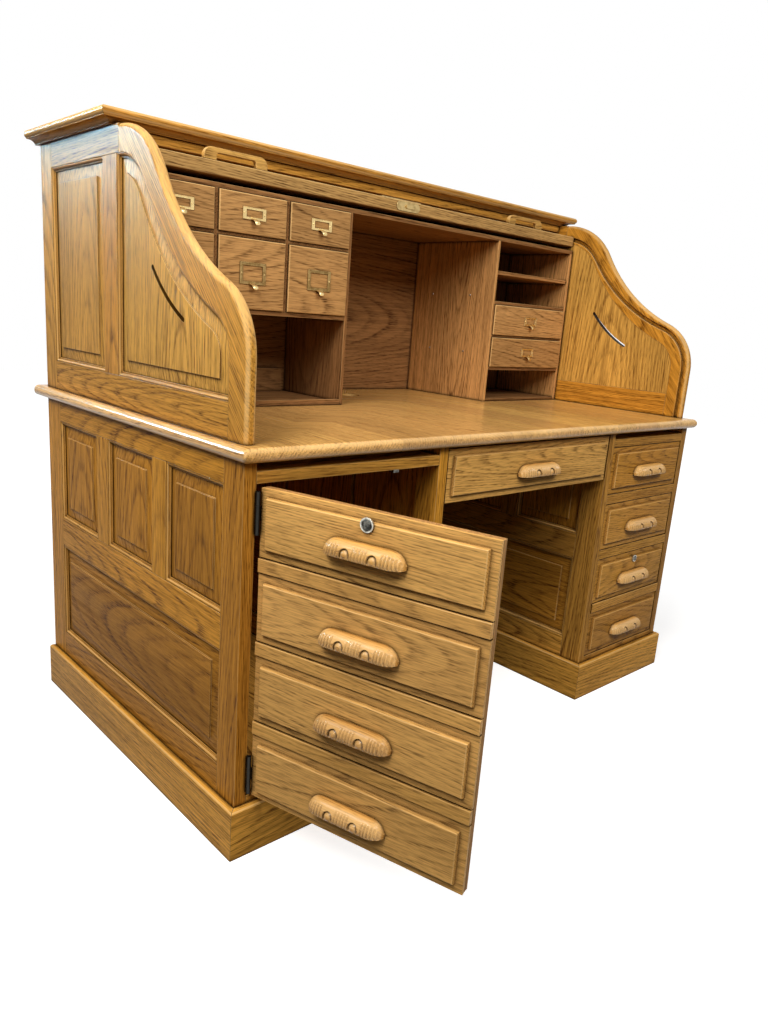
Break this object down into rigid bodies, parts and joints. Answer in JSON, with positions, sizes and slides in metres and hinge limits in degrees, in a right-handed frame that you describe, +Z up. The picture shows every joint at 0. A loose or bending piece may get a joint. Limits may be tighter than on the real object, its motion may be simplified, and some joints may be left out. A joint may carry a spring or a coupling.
{
  "type": "roll top desk",
  "caption": "Oak double pedestal roll top desk with S-shaped ends, a tambour on an organiser, a cabinet door and drawers with carved pulls.",
  "frame": {"origin": "on the floor, under the middle of the desk's box with its cabinet door open", "axes": "+X to the user's right along the front, +Y to the back, +Z up"},
  "size_m": [1.54, 1.3325, 1.327],
  "materials": {
    "oak_case": "golden oak, satin varnish, open grain",
    "oak_panel": "golden oak panels",
    "oak_top": "golden oak, worn satin",
    "oak_front": "golden oak fronts",
    "oak_carved": "carved oak, rubbed",
    "oak_inside": "plain inside boards",
    "brass": "aged brass",
    "nickel": "worn nickel plate"
  },
  "bodies": {
    "carcass": {"plinths": "oak_case", "left_pedestal_frames": "oak_case", "right_pedestal_frames": "oak_case", "pedestal_panels": "oak_panel", "left_pedestal_case": "oak_case", "right_pedestal_case": "oak_case", "drawer_runners": "oak_inside", "modesty_panel": "oak_panel", "desktop": "oak_top", "left_hutch_frame": "oak_case", "right_hutch_frame": "oak_case", "hutch_panels": "oak_panel", "hutch_back": "oak_panel", "hutch_deck": "oak_top", "fascia_rail": "oak_case", "crown_moulding": "oak_case", "organiser_case": "oak_inside", "organiser_shelf": "oak_inside", "shelf_pins": "brass", "post_hinge_leaves": "nickel", "door_catch": "nickel", "tambour_tail": "oak_case"},
    "cabinet_door": {"door_slab": "oak_inside", "door_fronts": "oak_front", "door_strips": "oak_front", "door_pulls": "oak_carved", "door_lock": "nickel", "door_hinge_leaves": "nickel"},
    "tambour_lead": {"lead_rail": "oak_case", "lift_handles": "oak_case", "tambour_lock": "brass"},
    "tambour_slat_1_body": {"tambour_slat_1": "oak_case"},
    "tambour_slat_2_body": {"tambour_slat_2": "oak_case"},
    "tambour_slat_3_body": {"tambour_slat_3": "oak_case"},
    "tambour_run_body": {"tambour_run": "oak_case"},
    "centre_drawer_body": {"centre_drawer": "oak_front", "centre_drawer_pull": "oak_carved"},
    "drawer_1_body": {"drawer_1": "oak_front", "drawer_1_pull": "oak_carved"},
    "drawer_2_body": {"drawer_2": "oak_front", "drawer_2_pull": "oak_carved"},
    "file_drawer_body": {"file_drawer": "oak_front", "file_drawer_pulls": "oak_carved", "file_drawer_lock": "nickel"},
    "letter_drawer_1_body": {"letter_drawer_1": "oak_front", "letter_drawer_1_pull": "brass"},
    "letter_drawer_2_body": {"letter_drawer_2": "oak_front", "letter_drawer_2_pull": "brass"},
    "letter_drawer_3_body": {"letter_drawer_3": "oak_front", "letter_drawer_3_pull": "brass"},
    "letter_drawer_4_body": {"letter_drawer_4": "oak_front", "letter_drawer_4_pull": "brass"},
    "letter_drawer_5_body": {"letter_drawer_5": "oak_front", "letter_drawer_5_pull": "brass"},
    "letter_drawer_6_body": {"letter_drawer_6": "oak_front", "letter_drawer_6_pull": "brass"},
    "letter_drawer_7_body": {"letter_drawer_7": "oak_front", "letter_drawer_7_pull": "brass"},
    "letter_drawer_8_body": {"letter_drawer_8": "oak_front", "letter_drawer_8_pull": "brass"}
  },
  "joints": [
    {"name": "door_hinge", "type": "hinge", "parent": "carcass", "child": "cabinet_door", "pos_m": [-0.7225, -0.25088, 0.4065], "axis": [0, 0, -1], "range_deg": [-74, 36]},
    {"name": "tambour_roll", "type": "hinge", "parent": "carcass", "child": "tambour_lead", "pos_m": [0, 0.23262, 1.114], "axis": [-1, 0, 0], "range_deg": [-43.95, 0]},
    {"name": "tambour_slat_1_roll", "type": "hinge", "parent": "carcass", "child": "tambour_slat_1_body", "pos_m": [0, 0.25262, 1.03454], "axis": [-1, 0, 0], "range_deg": [-28.27, 0]},
    {"name": "tambour_slat_2_roll", "type": "hinge", "parent": "carcass", "child": "tambour_slat_2_body", "pos_m": [0, 0.26462, 0.92109], "axis": [-1, 0, 0], "range_deg": [-18.85, 0]},
    {"name": "tambour_slat_3_roll", "type": "hinge", "parent": "carcass", "child": "tambour_slat_3_body", "pos_m": [0, 0.27662, 0.57987], "axis": [-1, 0, 0], "range_deg": [-9.43, 0]},
    {"name": "tambour_run_slide", "type": "slide", "parent": "carcass", "child": "tambour_run_body", "axis": [0, 1, 0], "range_m": [-0.1121, 0]},
    {"name": "centre_drawer_slide", "type": "slide", "parent": "carcass", "child": "centre_drawer_body", "axis": [0, -1, 0], "range_m": [0, 0.36]},
    {"name": "drawer_1_slide", "type": "slide", "parent": "carcass", "child": "drawer_1_body", "axis": [0, -1, 0], "range_m": [0, 0.42]},
    {"name": "drawer_2_slide", "type": "slide", "parent": "carcass", "child": "drawer_2_body", "axis": [0, -1, 0], "range_m": [0, 0.42]},
    {"name": "file_drawer_slide", "type": "slide", "parent": "carcass", "child": "file_drawer_body", "axis": [0, -1, 0], "range_m": [0, 0.42]},
    {"name": "letter_drawer_1_slide", "type": "slide", "parent": "carcass", "child": "letter_drawer_1_body", "axis": [0, -1, 0], "range_m": [0, 0.15]},
    {"name": "letter_drawer_2_slide", "type": "slide", "parent": "carcass", "child": "letter_drawer_2_body", "axis": [0, -1, 0], "range_m": [0, 0.15]},
    {"name": "letter_drawer_3_slide", "type": "slide", "parent": "carcass", "child": "letter_drawer_3_body", "axis": [0, -1, 0], "range_m": [0, 0.15]},
    {"name": "letter_drawer_4_slide", "type": "slide", "parent": "carcass", "child": "letter_drawer_4_body", "axis": [0, -1, 0], "range_m": [0, 0.15]},
    {"name": "letter_drawer_5_slide", "type": "slide", "parent": "carcass", "child": "letter_drawer_5_body", "axis": [0, -1, 0], "range_m": [0, 0.15]},
    {"name": "letter_drawer_6_slide", "type": "slide", "parent": "carcass", "child": "letter_drawer_6_body", "axis": [0, -1, 0], "range_m": [0, 0.15]},
    {"name": "letter_drawer_7_slide", "type": "slide", "parent": "carcass", "child": "letter_drawer_7_body", "axis": [0, -1, 0], "range_m": [0, 0.15]},
    {"name": "letter_drawer_8_slide", "type": "slide", "parent": "carcass", "child": "letter_drawer_8_body", "axis": [0, -1, 0], "range_m": [0, 0.15]}
  ],
  "couplings": [
    {"joint": "tambour_slat_1_roll", "follows": "tambour_roll", "ratio": 0.64286},
    {"joint": "tambour_slat_2_roll", "follows": "tambour_roll", "ratio": 0.42857},
    {"joint": "tambour_slat_3_roll", "follows": "tambour_roll", "ratio": 0.21429},
    {"joint": "tambour_run_slide", "follows": "tambour_roll", "m_per_rad": 0.146}
  ]
}
